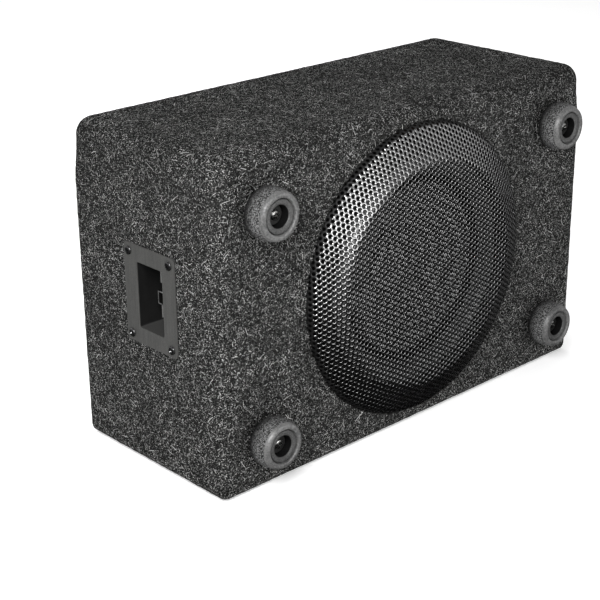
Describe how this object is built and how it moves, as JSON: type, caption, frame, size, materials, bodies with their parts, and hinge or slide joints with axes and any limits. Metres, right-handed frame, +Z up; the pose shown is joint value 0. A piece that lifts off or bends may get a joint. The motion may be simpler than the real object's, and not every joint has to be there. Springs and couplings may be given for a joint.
{
  "type": "powered car subwoofer",
  "caption": "Carpeted subwoofer box for a car, with a domed steel grille, rubber feet, a sunken connector plate and a built-in amplifier.",
  "frame": {"origin": "on the resting surface, under the middle of the box", "axes": "+Z up as it stands, -Y the way the loudspeaker and feet face, +X along the box towards the amplifier end"},
  "size_m": [0.4067, 0.185, 0.255],
  "materials": {
    "fibreboard": "raw, matt",
    "carpet": "needle-felt carpet with pale flecks",
    "foot_rubber": "moulded, matt",
    "grille_steel": "satin black",
    "basket_steel": "satin black",
    "screw_steel": "bright zinc",
    "black_screw": "blackened",
    "motor_steel": "plain",
    "ferrite": "matt",
    "gasket_foam": "foam",
    "surround_rubber": "satin",
    "woven_fibre": "woven, satin",
    "spider_cloth": "resin-dipped cloth",
    "coil_former": "smooth",
    "plate_plastic": "matt grey",
    "black_plastic": "matt",
    "knob_plastic": "satin",
    "contacts": "bright",
    "amp_metal": "satin black",
    "circuit_board": "solder mask",
    "copper_wire": "lacquered",
    "lamp": "tinted, clear",
    "wire_sleeve": "smooth"
  },
  "bodies": {
    "box": {"carpet_wrap": "carpet", "carpet_base": "carpet", "carpet_left": "carpet", "carpet_right": "carpet", "panel_top": "fibreboard", "panel_bottom": "fibreboard", "panel_left": "fibreboard", "panel_right": "fibreboard", "panel_back": "fibreboard", "baffle": "fibreboard", "foot_1": "foot_rubber", "foot_washer_1": "screw_steel", "foot_screw_1": "screw_steel", "woofer_screw_1": "black_screw", "well_screw_1": "black_screw", "amp_screw_1": "black_screw", "foot_2": "foot_rubber", "foot_washer_2": "screw_steel", "foot_screw_2": "screw_steel", "woofer_screw_2": "black_screw", "well_screw_2": "black_screw", "amp_screw_2": "black_screw", "foot_3": "foot_rubber", "foot_washer_3": "screw_steel", "foot_screw_3": "screw_steel", "woofer_screw_3": "black_screw", "well_screw_3": "black_screw", "amp_screw_3": "black_screw", "foot_4": "foot_rubber", "foot_washer_4": "screw_steel", "foot_screw_4": "screw_steel", "woofer_screw_4": "black_screw", "well_screw_4": "black_screw", "amp_screw_4": "black_screw", "grille": "grille_steel", "woofer_gasket": "gasket_foam", "basket": "basket_steel", "surround": "surround_rubber", "spider": "spider_cloth", "top_plate": "motor_steel", "magnet": "ferrite", "pole_yoke": "motor_steel", "connector_well": "plate_plastic", "harness_socket": "black_plastic", "harness_pins": "contacts", "amp_plate": "amp_metal", "amp_board": "circuit_board", "capacitor": "black_plastic", "toroid_coil": "copper_wire", "status_led": "lamp", "rca_left": "contacts", "rca_right": "contacts", "speaker_lead": "wire_sleeve", "harness_lead": "wire_sleeve"},
    "moving_cone": {"cone": "woven_fibre", "dust_cap": "woven_fibre", "voice_coil": "coil_former"},
    "level_knob": {"knob_level": "knob_plastic"},
    "crossover_knob": {"knob_crossover": "knob_plastic"},
    "phase_switch": {"switch_phase": "knob_plastic"}
  },
  "joints": [
    {"name": "woofer_travel", "type": "slide", "parent": "box", "child": "moving_cone", "axis": [0, -1, 0], "range_m": [-0.006, 0.006], "stiffness_N_per_m": 2500, "deforming": ["surround", "spider"]},
    {"name": "level_turn", "type": "hinge", "parent": "box", "child": "level_knob", "pos_m": [0.1975, -0.02, 0.1725], "axis": [1, 0, 0], "range_deg": [-150, 150]},
    {"name": "crossover_turn", "type": "hinge", "parent": "box", "child": "crossover_knob", "pos_m": [0.1975, -0.02, 0.1475], "axis": [1, 0, 0], "range_deg": [-150, 150]},
    {"name": "phase_slide", "type": "slide", "parent": "box", "child": "phase_switch", "axis": [0, 1, 0], "range_m": [0, 0.004]}
  ]
}
